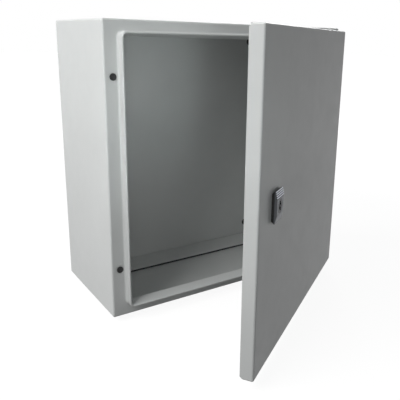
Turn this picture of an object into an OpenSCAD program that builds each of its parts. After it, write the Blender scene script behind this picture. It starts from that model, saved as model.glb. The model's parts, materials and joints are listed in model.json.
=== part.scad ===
// Steel wall enclosure: a folded and welded body with a flanged, rimmed front,
// a pan-shaped door on two concealed hinges, and a quarter-turn cam lock.
// Millimetres. The origin is the centre of the wall face, +Z is up and the
// front looks along -Y.

/* [Body] */
// Width of the body
body_w = 400; // [360:10:800]
// Height of the body
body_h = 400; // [340:10:1000]
// Depth of the body, from the wall face to the front flange
body_d = 180; // [160:5:400]
// Thickness of the body sheet
sheet_t = 1.5; // [1:0.1:2]
// Outer radius of the body's bends
bend_r = 2.5; // [2.2:0.1:5]
// Gap at a welded or clamped seam
seam_gap = 0.1; // [0.05:0.05:0.3]

/* [Front rim] */
// Width of the front flange on the left and right, outside the rim
flange_side = 20; // [20:0.5:30]
// Width of the front flange at the top and bottom, outside the rim
flange_end = 14.5; // [14:0.5:30]
// Height of the rain-shedding rim in front of the flange
rim_h = 12; // [10:0.5:14]
// Lean of the rim's inner leg
rim_lean = 14; // [8:1:18]
// Reach of the rim's inner leg behind the flange
rim_tail = 4; // [2:0.5:5]
// Corner radius of the rim's outer face
rim_corner_r = 8; // [8:0.5:20]

/* [Door] */
// Margin between the edge of the door and the edge of the body
door_margin = 5; // [4:0.5:6]
// Depth of the door pan
door_d = 17; // [16:0.5:20]
// Gap between the closed door's edge and the front flange
door_gap = 3; // [2.5:0.5:5]
// Thickness of the door sheet
door_t = 1.5; // [1:0.1:2]
// Outer radius of the door's bends
door_bend_r = 2.5; // [2.2:0.1:4]
// Corner radius of the door seen from the front
door_corner_r = 2; // [1:0.5:5]
// Chamfer on the door flanges where they meet at the corners
door_corner_cut = 4; // [1:0.5:6]
// Angle at which the door stands open
door_open = 33; // [0:0.1:110]

/* [Gasket] */
// Width of the foamed gasket at its foot
gasket_w = 9.4; // [7:0.1:10]
// Gap between the gasket and the rim's crest
gasket_gap = 0.3; // [0.2:0.1:1]

/* [Hinges] */
// Distance from the top or bottom of the body to the middle of a hinge
hinge_end = 70; // [50:5:120]
// Distance from the side of the body to the hinge pin
hinge_side = 10; // [9.6:0.1:10.4]
// Distance from the front flange to the hinge pin
hinge_reach = 10.7; // [10.3:0.1:11.2]
// Distance from the side of the body to the hinge holes in the flange
hinge_hole_side = 12; // [11.5:0.1:12.4]
// Diameter of the hinge pin
pin_d = 5; // [4:0.5:5]
// Diameter of the eye on the hinge post
eye_d = 9.2; // [8.5:0.1:9.4]
// Height of the eye on the hinge post
eye_h = 12.4; // [8:0.1:16]
// Width of the post's neck beyond the pin's axis
neck_side = 1.2; // [0.5:0.1:1.4]
// Diameter of the pad under the post
pad_d = 12; // [10:0.5:13]
// Height of the pad in front of the flange
pad_h = 1.4; // [0.8:0.1:1.5]
// Depth of the recess in the flange that seats the pad
seat_deep = 0.5; // [0.2:0.1:0.7]
// Diameter of the hinge post's stud
post_stud_d = 8; // [6:0.5:8]
// Length of the hinge post's stud from the front of the flange
post_stud_l = 15; // [12:0.5:20]
// Hole for the hinge post's stud
post_hole_d = 8.4; // [8.2:0.1:8.8]
// Width of the door-side arms
arm_d = 8.4; // [7:0.1:8.6]
// Thickness of the door-side arms
arm_t = 3; // [2:0.5:4]
// Thickness of the strip that joins the arms
strip_t = 1.4; // [1:0.1:1.5]
// Length of the strip past each arm
strip_past = 4; // [2:0.5:10]
// Running gap round the hinge pin and round the lock's core
run_gap = 0.05; // [0.02:0.01:0.1]
// Gap between the eye and each arm
end_gap = 0.2; // [0.1:0.1:0.5]
// Gap above and below the hinge in the door flange's notch
notch_gap = 1; // [0.5:0.1:4]
// Diameter of the pin's head
pin_head_d = 7.4; // [6:0.1:8]
// Height of the pin's head
pin_head_h = 1.4; // [1:0.1:2]
// Length of the pin below the lower arm
pin_past = 1.2; // [0.5:0.1:3]
// Diameter of the washer behind the flange
post_washer_d = 14; // [13:0.5:16]
// Thickness of the washer behind the flange
post_washer_t = 1.6; // [1:0.1:2]
// Width across the flats of the nut behind the flange
post_nut_af = 13; // [12:0.5:13]
// Height of the nut behind the flange
post_nut_h = 6.5; // [5:0.5:8]
// Diameter of the head of the plugs in the unused hinge holes
plug_head_d = 9.2; // [8.8:0.1:11]
// Height of the plug's head
plug_head_h = 1; // [0.8:0.1:1.5]
// Length of the plug's barbed shank
plug_shank_l = 5; // [4:0.5:8]

/* [Lock] */
// Distance from the free edge of the door to the middle of the lock
lock_edge = 54; // [50:1:56]
// Width of the lock's cover
cover_w = 28; // [26:0.5:34]
// Height of the lock's cover
cover_h = 38; // [36:0.5:46]
// Thickness of the cover
cover_t = 2.8; // [2:0.1:4]
// Thickness of the cover at its rim
cover_rim_t = 0.6; // [0.4:0.1:1]
// Width of the bevel along the cover's sides
cover_bevel = 2.5; // [1:0.1:4]
// Length of the slopes at the cover's top and bottom
cover_slope = 9.5; // [6:0.5:10]
// Thickness of the rubber seal under the cover
lock_seal_t = 3; // [1.5:0.1:4]
// Number of grip ribs on the cover's upper slope
grip_ribs = 4; // [2:1:5]
// Spacing of the grip ribs
grip_pitch = 2.3; // [1.8:0.1:2.6]
// Thickness of a grip rib
grip_rib_t = 1; // [0.6:0.1:1.4]
// Height of a grip rib above the slope
grip_rib_h = 0.6; // [0.3:0.1:0.9]
// Diameter of the lock's barrel
barrel_d = 22; // [20:0.5:24]
// Length of the barrel behind the door sheet
barrel_l = 15; // [12:0.5:15.5]
// Diameter of the lock's core
core_d = 16.5; // [14:0.5:17]
// Length of the lock's core
core_l = 10.5; // [9.5:0.5:11]
// Diameter of the core's shank
shank_d = 12; // [11.5:0.5:13]
// Diameter of the key socket
socket_d = 8.6; // [7:0.1:9]
// Depth of the key socket
socket_deep = 8; // [5:0.5:9]
// Length across the two key wards
ward_l = 12; // [10:0.1:13]
// Width of a key ward
ward_w = 4.4; // [3:0.1:5]
// Diameter of the pin in the key socket
key_pin_d = 3; // [2:0.1:4]
// Width across the flats of the nut on the barrel
barrel_nut_af = 27; // [26:0.5:32]
// Height of the nut on the barrel
barrel_nut_h = 6; // [4:0.5:8]
// Side of the square that drives the cam
drive_side = 8; // [7:0.1:8]
// Thickness of the cam
cam_t = 3; // [2:0.1:3]
// Width of the cam
cam_w = 16; // [14:0.5:20]
// Length of the cam's foot along its arm, up to the crank
cam_foot = 11; // [9.5:0.5:12]
// Length of the cam's crank
cam_crank = 8; // [6:0.5:9]
// Reach of the cam behind the rim's inner edge
cam_bite = 6; // [4:0.5:10]
// Gap between the locked cam and the rim
cam_gap = 0.5; // [0.3:0.1:1]
// Diameter of the cam screw
cam_screw_d = 5; // [4:0.5:5]
// Depth of the cam screw in the shank
cam_screw_deep = 8; // [6:0.5:9]
// Diameter of the cam screw's head
cam_head_d = 9; // [8:0.5:10]
// Height of the cam screw's head
cam_head_h = 3.2; // [2.5:0.1:3.5]
// Diameter of the washer under the cam screw
cam_washer_d = 14; // [12:0.5:15]
// Thickness of the washer under the cam screw
cam_washer_t = 1.2; // [1:0.1:1.5]

/* [Gland plate] */
// Width of the cable cut-out in the floor
gland_w = 310; // [150:5:320]
// Depth of the cable cut-out in the floor
gland_d = 101; // [60:1:110]
// Distance from the wall face to the cut-out
gland_back = 48; // [30:1:49]
// Corner radius of the cut-out
gland_r = 6; // [3:0.5:12]
// Overlap of the plate round the cut-out
gland_lap = 13; // [12:0.5:15]
// Thickness of the plate
gland_t = 2; // [1:0.1:4]
// Thickness of the plate's gasket
gland_gasket_t = 3; // [2:0.1:4]
// Number of screws along each short side
gland_rows = 3; // [2:1:4]
// Inset of the end screws from the cut-out's corners
gland_screw_in = 5; // [3:0.5:10]
// Diameter of the plate's screws
gland_screw_d = 6; // [5:0.5:6]
// Clearance hole for the plate's screws
gland_hole_d = 6.6; // [6.3:0.1:7]
// Width across the flats of the plate's screws and nuts
gland_af = 10; // [8:0.5:10]
// Diameter of the flange under each screw head
gland_flange_d = 12; // [10:0.5:12.5]
// Thickness of the flange under each screw head
gland_flange_t = 1; // [0.8:0.1:1.5]
// Height of the screw head below its flange
gland_head_h = 3.5; // [3:0.1:5]
// Height of the weld nuts inside the floor
weld_nut_h = 5; // [4:0.5:6]
// Length of screw that shows past a weld nut
screw_past = 1.5; // [0.5:0.5:4]

/* [Fixings] */
// Distance from the side of the body to the wall-fixing holes
wall_hole_side = 48; // [44:1:120]
// Distance from the top or bottom of the body to the wall-fixing holes
wall_hole_end = 25; // [15:1:30]
// Bore of the seals in the wall-fixing holes
wall_bore_d = 8.5; // [6:0.5:9]
// Wall of the seals in the wall-fixing holes
wall_seal_t = 0.8; // [0.6:0.1:1.5]
// Overlap of the seal's lip round its hole
wall_lip = 1.4; // [1:0.1:3]
// Thickness of the seal's lip
wall_lip_t = 1.2; // [0.8:0.1:2]
// Distance from the side, top or bottom of the body to the mounting-plate studs
plate_stud_in = 37.5; // [36:0.5:80]
// Diameter of the mounting-plate studs
plate_stud_d = 8; // [6:1:8]
// Length of the mounting-plate studs
plate_stud_l = 20; // [12:1:30]
// Diameter of the weld foot under a stud, past the stud itself
weld_foot = 2.4; // [1:0.1:3]
// Thickness of the weld foot under a stud
weld_foot_t = 1; // [0.6:0.1:1.5]
// Chamfer at the tip of every stud
tip_cut = 0.8; // [0.4:0.1:1.2]

/* [Earthing] */
// Diameter of the earthing studs
earth_d = 6; // [5:1:6]
// Length of the earthing studs
earth_l = 14; // [12:1:16]
// Distance from the wall face to the body's earthing stud
body_earth_y = 26; // [20:1:60]
// Height of the body's earthing stud above the floor
body_earth_z = 34; // [20:1:80]
// Distance from the door's hinge edge to the door's earthing stud
door_earth_x = 60; // [40:1:100]
// Height of the door's earthing stud above the door's bottom edge
door_earth_z = 46; // [40:1:100]
// Width across the flats of the earthing nuts
earth_af = 10; // [8:0.5:10]
// Height of the earthing nuts
earth_nut_h = 5; // [4:0.5:6]
// Diameter of the toothed washers
earth_washer_d = 12; // [11:0.5:14]
// Thickness of the toothed washers
earth_washer_t = 1; // [0.6:0.1:1.5]
// Number of teeth on each toothed washer
earth_teeth = 10; // [6:1:12]

/* [Hidden] */
$fn = 64;
over = 1;                                      // how far a cutting shape runs past a face

paint_grey = [0.80, 0.81, 0.80];
zinc_grey = [0.70, 0.71, 0.73];
lock_grey = [0.50, 0.51, 0.54];
rubber_black = [0.07, 0.07, 0.07];

body_r = bend_r - sheet_t;                     // inner radius of the body's bends
rim_w = body_w - 2 * flange_side;              // rim, over its outer faces
rim_tall = body_h - 2 * flange_end;
leg_drop = rim_h - sheet_t + rim_tail;         // crest's bend centre to the end of the inner leg
leg_l = leg_drop / cos(rim_lean);
rim_in = sheet_t + leg_drop * tan(rim_lean) + sheet_t / cos(rim_lean);
rim_back_y = -body_d + rim_tail + sheet_t * sin(rim_lean);

door_w = body_w - 2 * door_margin;
door_h = body_h - 2 * door_margin;
door_front_y = -body_d - door_gap - door_d;
door_skin_y = door_front_y + door_t;           // inner face of the closed door's sheet
door_r = door_bend_r - door_t;

gasket_h = -body_d - rim_h - gasket_gap - door_skin_y;
gasket_r = (gasket_w * gasket_w / 4 + gasket_h * gasket_h) / (2 * gasket_h);
gasket_in = sheet_t + gasket_w / 2;            // gasket's outer edge to the middle of the rim's crest

hinge_x = body_w / 2 - hinge_side;
hinge_y = -body_d - hinge_reach;
hinge_z = body_h / 2 - hinge_end;
hinge_hole_x = body_w / 2 - hinge_hole_side;
arm_z = eye_h / 2 + end_gap;                   // hinge's middle to the inner face of an arm
strip_h = 2 * (arm_z + arm_t + strip_past);
strip_out = door_w / 2 - door_bend_r - hinge_x;
notch_h = 2 * (arm_z + arm_t + max(pin_head_h, pin_past) + notch_gap);

lock_x = -door_w / 2 + lock_edge;
cover_y = door_front_y - lock_seal_t;          // back of the cover
barrel_y = door_skin_y + barrel_l;             // inner end of the barrel
core_y = cover_y - cover_t;
cam_foot_y = barrel_y + end_gap;
cam_step = rim_back_y + cam_gap - cam_foot_y;  // how far the crank moves the cam back
cam_l = lock_x + rim_w / 2 - rim_in + cam_bite;

gland_y = -gland_back - gland_d / 2;
gland_screw_x = gland_w / 2 + gland_lap / 2;
gland_row_pitch = (gland_d - 2 * gland_screw_in) / (gland_rows - 1);
floor_z = -body_h / 2 + sheet_t;               // inner face of the floor
gland_plate_z = -body_h / 2 - gland_gasket_t - gland_t;

wall_pitch_x = body_w - 2 * wall_hole_side;
wall_pitch_z = body_h - 2 * wall_hole_end;
body_earth = [-body_w / 2 + sheet_t, -body_earth_y, floor_z + body_earth_z];
door_earth = [door_w / 2 - door_earth_x, door_skin_y, -door_h / 2 + door_earth_z];

// ---- shapes that repeat ----

// Rectangle with round corners, about the origin
module round_rect(w, h, r) {
  square([w, h - 2 * r], center = true);
  square([w - 2 * r, h], center = true);
  for (x = [-1, 1], y = [-1, 1])
    translate([x * (w / 2 - r), y * (h / 2 - r)]) circle(r);
}

// Prism of a front view (X across, Y up on the drawing), from y = 0 to the front
module along_front(depth) {
  rotate([90, 0, 0]) linear_extrude(depth) children();
}

// Plan of a tray whose two front edges are round, from y = 0 to the front
module tray_plan(w, depth, r) {
  translate([-w / 2, r - depth]) square([w, depth - r]);
  translate([r - w / 2, -depth]) square([w - 2 * r, r + over]);
  for (x = [-1, 1]) translate([x * (w / 2 - r), r - depth]) circle(r);
}

// Block whose front edges have the radius of a fold, from y = 0 to the front
module folded_block(w, h, depth, fold_r, corner_r) {
  intersection() {
    translate([0, over, 0]) along_front(depth + 2 * over) round_rect(w, h, corner_r);
    linear_extrude(h + 2 * over, center = true) tray_plan(w, depth, fold_r);
    rotate([90, 0, 90]) linear_extrude(w + 2 * over, center = true)
      rotate(-90) tray_plan(h, depth, fold_r);
  }
}

// Carries a profile round a rectangle with round corners, in the front plane.
// The profile has -X inwards and +Y forwards, from the rectangle's outline.
module frame_sweep(w, h, r) {
  rotate([90, 0, 0]) {
    for (side = [[0, w, h], [90, h, w]], turn = [0, 180])
      rotate(side[0] + turn) rotate([90, 0, 0]) linear_extrude(side[2] - 2 * r, center = true)
        translate([side[1] / 2, 0]) children();
    for (x = [0, 1], y = [0, 1])
      mirror([x, 0, 0]) mirror([0, y, 0]) translate([w / 2 - r, h / 2 - r, 0])
        rotate_extrude(angle = 90) translate([r, 0]) children();
  }
}

// Turns +Z to -Y, so that a turned part points to the front
module to_front() {
  rotate([90, 0, 0]) children();
}

// Hexagon of a given width across its flats
module hexagon(af) {
  circle(d = af / cos(30), $fn = 6);
}

module hex_nut(af, h, bore_d) {
  linear_extrude(h) difference() {
    hexagon(af);
    circle(d = bore_d);
  }
}

module washer(outer_d, t, bore_d) {
  linear_extrude(t) difference() {
    circle(d = outer_d);
    circle(d = bore_d);
  }
}

// Round bar that ends in a chamfer
module tipped_bar(d, l) {
  cylinder(d = d, h = l - tip_cut);
  translate([0, 0, l - tip_cut]) cylinder(d1 = d, d2 = d - 2 * tip_cut, h = tip_cut);
}

// Weld stud: a foot on the sheet and a plain bar for the thread
module weld_stud(d, l) {
  cylinder(d = d + weld_foot, h = weld_foot_t);
  tipped_bar(d, l);
}

// Washer with teeth round its edge
module toothed_washer(outer_d, t, bore_d) {
  tooth = outer_d * 0.16;
  linear_extrude(t) difference() {
    union() {
      circle(d = outer_d - 2 * tooth);
      for (i = [0:earth_teeth - 1])
        rotate(i * 360 / earth_teeth) translate([outer_d / 2 - tooth - over, -tooth / 2])
          square([tooth + over, tooth]);
    }
    circle(d = bore_d);
  }
}

// The four corners of a rectangle in the front view
module at_four(pitch_x, pitch_z) {
  for (x = [-1, 1], z = [-1, 1]) translate([x * pitch_x / 2, 0, z * pitch_z / 2]) children();
}

// The places of the gland plate's screws
module at_gland_screws() {
  for (x = [-1, 1], row = [0:gland_rows - 1])
    translate([x * gland_screw_x, gland_y - gland_d / 2 + gland_screw_in + row * gland_row_pitch, 0])
      children();
}

// The upper and lower hinge holes on one side, 1 for the hinge side and -1 for the other
module at_hinge_holes(side) {
  for (z = [-1, 1]) translate([side * hinge_hole_x, 0, z * hinge_z]) children();
}

// Swings what belongs to the closed door to where the door stands open
module on_door() {
  translate([hinge_x, hinge_y, 0]) rotate(door_open) translate([-hinge_x, -hinge_y, 0]) children();
}

// ---- body ----

// Rain-shedding rim: an outer leg, a folded crest and a leaning inner leg
module rim_profile() {
  translate([-sheet_t, -sheet_t]) square([sheet_t, rim_h]);
  translate([-sheet_t, rim_h - sheet_t]) {
    circle(sheet_t);
    rotate(-rim_lean) translate([-sheet_t, -leg_l]) square([sheet_t, leg_l]);
  }
}

// Hinge holes in the front flange, each in a shallow seat
module flange_holes() {
  for (side = [-1, 1]) at_hinge_holes(side) {
    translate([0, over - body_d + sheet_t, 0]) to_front() cylinder(d = post_hole_d, h = sheet_t + 2 * over);
    translate([0, seat_deep - body_d, 0]) to_front() cylinder(d = pad_d + 2 * seam_gap, h = seat_deep + over);
  }
}

module body_wrap() {
  color(paint_grey) {
    difference() {
      folded_block(body_w, body_h, body_d, bend_r, bend_r);
      translate([0, over, 0])
        folded_block(body_w - 2 * sheet_t, body_h - 2 * sheet_t, body_d - sheet_t + over, body_r, body_r);
      translate([0, 2 * over - body_d, 0]) along_front(4 * over)
        round_rect(rim_w - sheet_t, rim_tall - sheet_t, rim_corner_r - sheet_t / 2);
      flange_holes();
      translate([0, gland_y, -body_h / 2 - over]) linear_extrude(sheet_t + 2 * over)
        round_rect(gland_w, gland_d, gland_r);
      translate([0, 0, -body_h / 2 - over]) at_gland_screws()
        cylinder(d = gland_hole_d, h = sheet_t + 2 * over);
    }
    translate([0, -body_d, 0]) frame_sweep(rim_w, rim_tall, rim_corner_r) rim_profile();
  }
}

module back_panel() {
  panel_in = 2 * (sheet_t + seam_gap);
  color(paint_grey) difference() {
    along_front(sheet_t) round_rect(body_w - panel_in, body_h - panel_in, body_r + seam_gap);
    translate([0, over, 0]) at_four(wall_pitch_x, wall_pitch_z) to_front()
      cylinder(d = wall_bore_d + 2 * wall_seal_t + 2 * seam_gap, h = sheet_t + 2 * over);
  }
}

// Dished plug with a barbed shank, pressed into an unused hinge hole
module hole_plug() {
  neck_d = post_hole_d - 2 * seam_gap;
  difference() {
    union() {
      translate([0, 0, -plug_shank_l]) cylinder(d = neck_d - 1, h = plug_shank_l);
      translate([0, 0, seat_deep - sheet_t]) cylinder(d = neck_d, h = sheet_t);
      cylinder(d = plug_head_d, h = plug_head_h);
      translate([0, 0, -sheet_t - 1.6]) cylinder(d1 = neck_d - 1, d2 = neck_d + 0.6, h = 1.5);
    }
    translate([0, 0, plug_head_h * 0.4]) cylinder(d1 = plug_head_d * 0.5, d2 = plug_head_d * 0.66, h = plug_head_h);
  }
}

module hinge_hole_plugs() {
  color(rubber_black) at_hinge_holes(-1)
    translate([0, seat_deep - body_d, 0]) to_front() hole_plug();
}

// Top-hat seal: a sleeve in the panel's hole and a lip inside
module wall_hole_seals() {
  sleeve_d = wall_bore_d + 2 * wall_seal_t;
  color(rubber_black) at_four(wall_pitch_x, wall_pitch_z) to_front() difference() {
    union() {
      cylinder(d = sleeve_d, h = sheet_t);
      translate([0, 0, sheet_t]) cylinder(d = sleeve_d + 2 * wall_lip, h = wall_lip_t);
    }
    translate([0, 0, -over]) cylinder(d = wall_bore_d, h = sheet_t + wall_lip_t + 2 * over);
  }
}

module mounting_studs() {
  color(zinc_grey) at_four(body_w - 2 * plate_stud_in, body_h - 2 * plate_stud_in)
    translate([0, -sheet_t, 0]) to_front() weld_stud(plate_stud_d, plate_stud_l);
}

module gland_gasket() {
  color(rubber_black) translate([0, 0, gland_plate_z + gland_t]) linear_extrude(gland_gasket_t) difference() {
    translate([0, gland_y]) round_rect(gland_w + 2 * gland_lap, gland_d + 2 * gland_lap, gland_r + gland_lap / 2);
    translate([0, gland_y]) round_rect(gland_w, gland_d, gland_r);
    at_gland_screws() circle(d = gland_hole_d);
  }
}

module gland_plate() {
  color(paint_grey) translate([0, 0, gland_plate_z]) linear_extrude(gland_t) difference() {
    translate([0, gland_y]) round_rect(gland_w + 2 * gland_lap, gland_d + 2 * gland_lap, gland_r + gland_lap / 2);
    at_gland_screws() circle(d = gland_hole_d);
  }
}

module gland_screws() {
  bar_l = gland_t + gland_gasket_t + sheet_t + weld_nut_h + screw_past;
  color(zinc_grey) translate([0, 0, gland_plate_z]) at_gland_screws() {
    tipped_bar(gland_screw_d, bar_l);
    translate([0, 0, -gland_flange_t]) cylinder(d = gland_flange_d, h = gland_flange_t);
    translate([0, 0, -gland_flange_t - gland_head_h]) linear_extrude(gland_head_h) hexagon(gland_af);
  }
}

module gland_weld_nuts() {
  color(zinc_grey) translate([0, 0, floor_z]) at_gland_screws()
    hex_nut(gland_af, weld_nut_h, gland_screw_d + 2 * seam_gap);
}

module body_earth_stud() {
  color(zinc_grey) translate(body_earth) rotate([0, 90, 0]) weld_stud(earth_d, earth_l);
}

module body_earth_washer() {
  color(zinc_grey) translate(body_earth) rotate([0, 90, 0]) translate([0, 0, weld_foot_t])
    toothed_washer(earth_washer_d, earth_washer_t, earth_d + 2 * seam_gap);
}

module body_earth_nut() {
  color(zinc_grey) translate(body_earth) rotate([0, 90, 0]) translate([0, 0, weld_foot_t + earth_washer_t])
    hex_nut(earth_af, earth_nut_h, earth_d + 2 * seam_gap);
}

// ---- hinges ----

// Post bolted to the flange: stud, pad, a neck set inwards and the eye for the pin
// The origin is on the pin's axis
module hinge_post() {
  neck_l = hinge_reach - pad_h / 2;
  color(zinc_grey) {
    linear_extrude(eye_h, center = true) difference() {
      union() {
        circle(d = eye_d);
        translate([-eye_d / 2, 0]) square([eye_d / 2 + neck_side, neck_l]);
      }
      circle(d = pin_d + 2 * run_gap);
    }
    translate([hinge_hole_x - hinge_x, hinge_reach - pad_h, 0]) rotate([-90, 0, 0]) {
      cylinder(d = pad_d, h = pad_h + seat_deep);
      tipped_bar(post_stud_d, pad_h + post_stud_l);
    }
  }
}

// Door-side bracket: two arms on a strip that is welded to the door's sheet
module hinge_bracket() {
  strip_y = door_skin_y - hinge_y;
  color(zinc_grey) {
    translate([-arm_d / 2, strip_y, -strip_h / 2]) cube([arm_d / 2 + strip_out, strip_t, strip_h]);
    for (side = [-1, 1]) translate([0, 0, side * (arm_z + arm_t / 2)])
      linear_extrude(arm_t, center = true) difference() {
        union() {
          circle(d = arm_d);
          translate([-arm_d / 2, strip_y]) square([arm_d / 2 + strip_out, -strip_y]);
        }
        circle(d = pin_d + 2 * run_gap);
      }
  }
}

module hinge_pin() {
  color(zinc_grey) {
    translate([0, 0, arm_z + arm_t]) mirror([0, 0, 1]) tipped_bar(pin_d, 2 * (arm_z + arm_t) + pin_past);
    translate([0, 0, arm_z + arm_t]) cylinder(d = pin_head_d, h = pin_head_h);
  }
}

module upper_hinge_post() {
  translate([hinge_x, hinge_y, hinge_z]) hinge_post();
}

module lower_hinge_post() {
  translate([hinge_x, hinge_y, -hinge_z]) hinge_post();
}

module upper_hinge_bracket() {
  on_door() translate([hinge_x, hinge_y, hinge_z]) hinge_bracket();
}

module lower_hinge_bracket() {
  on_door() translate([hinge_x, hinge_y, -hinge_z]) hinge_bracket();
}

module upper_hinge_pin() {
  on_door() translate([hinge_x, hinge_y, hinge_z]) hinge_pin();
}

module lower_hinge_pin() {
  on_door() translate([hinge_x, hinge_y, -hinge_z]) hinge_pin();
}

module hinge_post_washers() {
  color(zinc_grey) translate([0, sheet_t - body_d, 0]) at_hinge_holes(1) rotate([-90, 0, 0])
    washer(post_washer_d, post_washer_t, post_stud_d + 2 * seam_gap);
}

module hinge_post_nuts() {
  color(zinc_grey) translate([0, sheet_t + post_washer_t - body_d, 0]) at_hinge_holes(1) rotate([-90, 0, 0])
    hex_nut(post_nut_af, post_nut_h, post_stud_d + 2 * seam_gap);
}

// ---- door ----

// Notches in the hinge-side flange that let the posts through
module hinge_notches() {
  notch_w = door_t + 2 * over;
  for (z = [-1, 1])
    translate([door_w / 2 - door_t - over, door_front_y + door_bend_r, z * hinge_z - notch_h / 2])
      cube([notch_w, door_d + over, notch_h]);
}

// Chamfers where the flanges meet at the four corners
module corner_cuts() {
  far = -door_corner_cut - over;
  deep = door_t + seam_gap;
  cut_plan = [[over, over], [far, over], [over, far]];
  for (x = [0, 1], z = [0, 1]) mirror([x, 0, 0]) mirror([0, 0, z])
    translate([door_w / 2, -body_d - door_gap, door_h / 2]) {
      translate([-deep, 0, 0]) rotate([90, 0, 90]) linear_extrude(deep + over) polygon(cut_plan);
      translate([0, 0, -deep]) linear_extrude(deep + over) polygon(cut_plan);
    }
}

module door_panel() {
  pan_y = -body_d - door_gap;
  color(paint_grey) on_door() difference() {
    translate([0, pan_y, 0]) folded_block(door_w, door_h, door_d, door_bend_r, door_corner_r);
    translate([0, pan_y + over, 0])
      folded_block(door_w - 2 * door_t, door_h - 2 * door_t, door_d - door_t + over, door_r, door_r);
    hinge_notches();
    corner_cuts();
    translate([lock_x, over + door_skin_y, 0]) to_front()
      cylinder(d = barrel_d + 2 * seam_gap, h = door_t + 2 * over);
  }
}

// Foamed gasket: a dome that faces the rim's crest
module door_gasket() {
  foot = gasket_in - sheet_t;
  color(rubber_black) on_door() translate([0, door_skin_y, 0])
    frame_sweep(rim_w + gasket_w - 2 * sheet_t, rim_tall + gasket_w - 2 * sheet_t, rim_corner_r + foot - sheet_t)
      mirror([0, 1]) intersection() {
        translate([-foot, gasket_h - gasket_r]) circle(gasket_r);
        translate([-2 * foot, 0]) square([2 * foot, gasket_h + over]);
      }
}

module door_earth_stud() {
  color(zinc_grey) on_door() translate(door_earth) rotate([-90, 0, 0]) weld_stud(earth_d, earth_l);
}

module door_earth_washer() {
  color(zinc_grey) on_door() translate(door_earth) rotate([-90, 0, 0]) translate([0, 0, weld_foot_t])
    toothed_washer(earth_washer_d, earth_washer_t, earth_d + 2 * seam_gap);
}

module door_earth_nut() {
  color(zinc_grey) on_door() translate(door_earth) rotate([-90, 0, 0])
    translate([0, 0, weld_foot_t + earth_washer_t]) hex_nut(earth_af, earth_nut_h, earth_d + 2 * seam_gap);
}

// ---- lock ----

module lock_seal() {
  color(rubber_black) on_door() translate([lock_x, door_front_y, 0]) to_front()
    linear_extrude(lock_seal_t) difference() {
      round_rect(cover_w, cover_h, cover_bevel);
      circle(d = barrel_d + 2 * seam_gap);
    }
}

// Cover with bevelled sides, sloping ends and grip ribs, drawn with +Z to the front
module lock_cover() {
  half_h = cover_h / 2;
  intersection() {
    linear_extrude(cover_t) round_rect(cover_w, cover_h, cover_bevel);
    rotate([0, -90, 0]) linear_extrude(cover_w, center = true)
      polygon([
        [0, -half_h], [cover_rim_t, -half_h], [cover_t, cover_slope - half_h],
        [cover_t, half_h - cover_slope], [cover_rim_t, half_h], [0, half_h]
      ]);
    rotate([90, 0, 0]) linear_extrude(cover_h, center = true)
      polygon([
        [-cover_w / 2, 0], [-cover_w / 2, cover_rim_t], [cover_bevel - cover_w / 2, cover_t],
        [cover_w / 2 - cover_bevel, cover_t], [cover_w / 2, cover_rim_t], [cover_w / 2, 0]
      ]);
  }
  for (i = [0:grip_ribs - 1]) {
    down = grip_rib_t / 2 + 0.3 + i * grip_pitch;
    rib_top = cover_rim_t + (cover_t - cover_rim_t) * down / cover_slope + grip_rib_h;
    translate([cover_bevel - cover_w / 2, half_h - down - grip_rib_t / 2, 0])
      cube([cover_w - 2 * cover_bevel, grip_rib_t, rib_top]);
  }
}

module lock_housing() {
  color(lock_grey) on_door() translate([lock_x, cover_y, 0]) difference() {
    union() {
      to_front() lock_cover();
      rotate([-90, 0, 0]) cylinder(d = barrel_d, h = barrel_y - cover_y);
    }
    translate([0, core_y + core_l - cover_y, 0]) to_front() cylinder(d = core_d + 2 * run_gap, h = core_l + over);
    translate([0, barrel_y - cover_y + over, 0]) to_front()
      cylinder(d = shank_d + 2 * run_gap, h = barrel_y - core_y);
  }
}

module lock_nut() {
  color(zinc_grey) on_door() translate([lock_x, door_skin_y, 0]) rotate([-90, 0, 0])
    hex_nut(barrel_nut_af, barrel_nut_h, barrel_d + 2 * seam_gap);
}

// Core that the key turns: socket with a pin and two wards, shank and square drive
module lock_core() {
  drive_l = cam_t + end_gap - seam_gap;
  color(lock_grey) on_door() translate([lock_x, core_y, 0]) {
    rotate([-90, 0, 0]) difference() {
      union() {
        cylinder(d = core_d, h = core_l);
        cylinder(d = shank_d, h = barrel_y - core_y);
        translate([-drive_side / 2, -drive_side / 2, barrel_y - core_y - over])
          cube([drive_side, drive_side, drive_l + over]);
      }
      translate([0, 0, -over]) linear_extrude(socket_deep + over) difference() {
        union() {
          circle(d = socket_d);
          square([ward_w, ward_l], center = true);
        }
        circle(d = key_pin_d);
      }
      translate([0, 0, barrel_y - core_y + drive_l - cam_screw_deep])
        cylinder(d = cam_screw_d + 2 * seam_gap, h = cam_screw_deep + over);
    }
  }
}

// Cranked cam, drawn with the arm along +X and the crank towards +Z
module cam_shape() {
  crank_end = cam_foot + cam_crank;
  lean = cam_t / 2;
  difference() {
    union() {
      cylinder(d = cam_w, h = cam_t);
      intersection() {
        rotate([90, 0, 0]) linear_extrude(cam_w, center = true) polygon([
          [0, 0], [cam_foot, 0], [crank_end, cam_step], [cam_l, cam_step], [cam_l, cam_step + cam_t],
          [crank_end - lean, cam_step + cam_t], [cam_foot - lean, cam_t], [0, cam_t]
        ]);
        linear_extrude(cam_step + 2 * cam_t) {
          translate([0, -cam_w / 2]) square([cam_l - cam_w / 2, cam_w]);
          translate([cam_l - cam_w / 2, 0]) circle(d = cam_w);
        }
      }
    }
    translate([-drive_side / 2 - seam_gap, -drive_side / 2 - seam_gap, -over])
      cube([drive_side + 2 * seam_gap, drive_side + 2 * seam_gap, cam_t + 2 * over]);
  }
}

module lock_cam() {
  color(zinc_grey) on_door() translate([lock_x, cam_foot_y, 0]) rotate([-90, 0, 0]) rotate(90) cam_shape();
}

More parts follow.
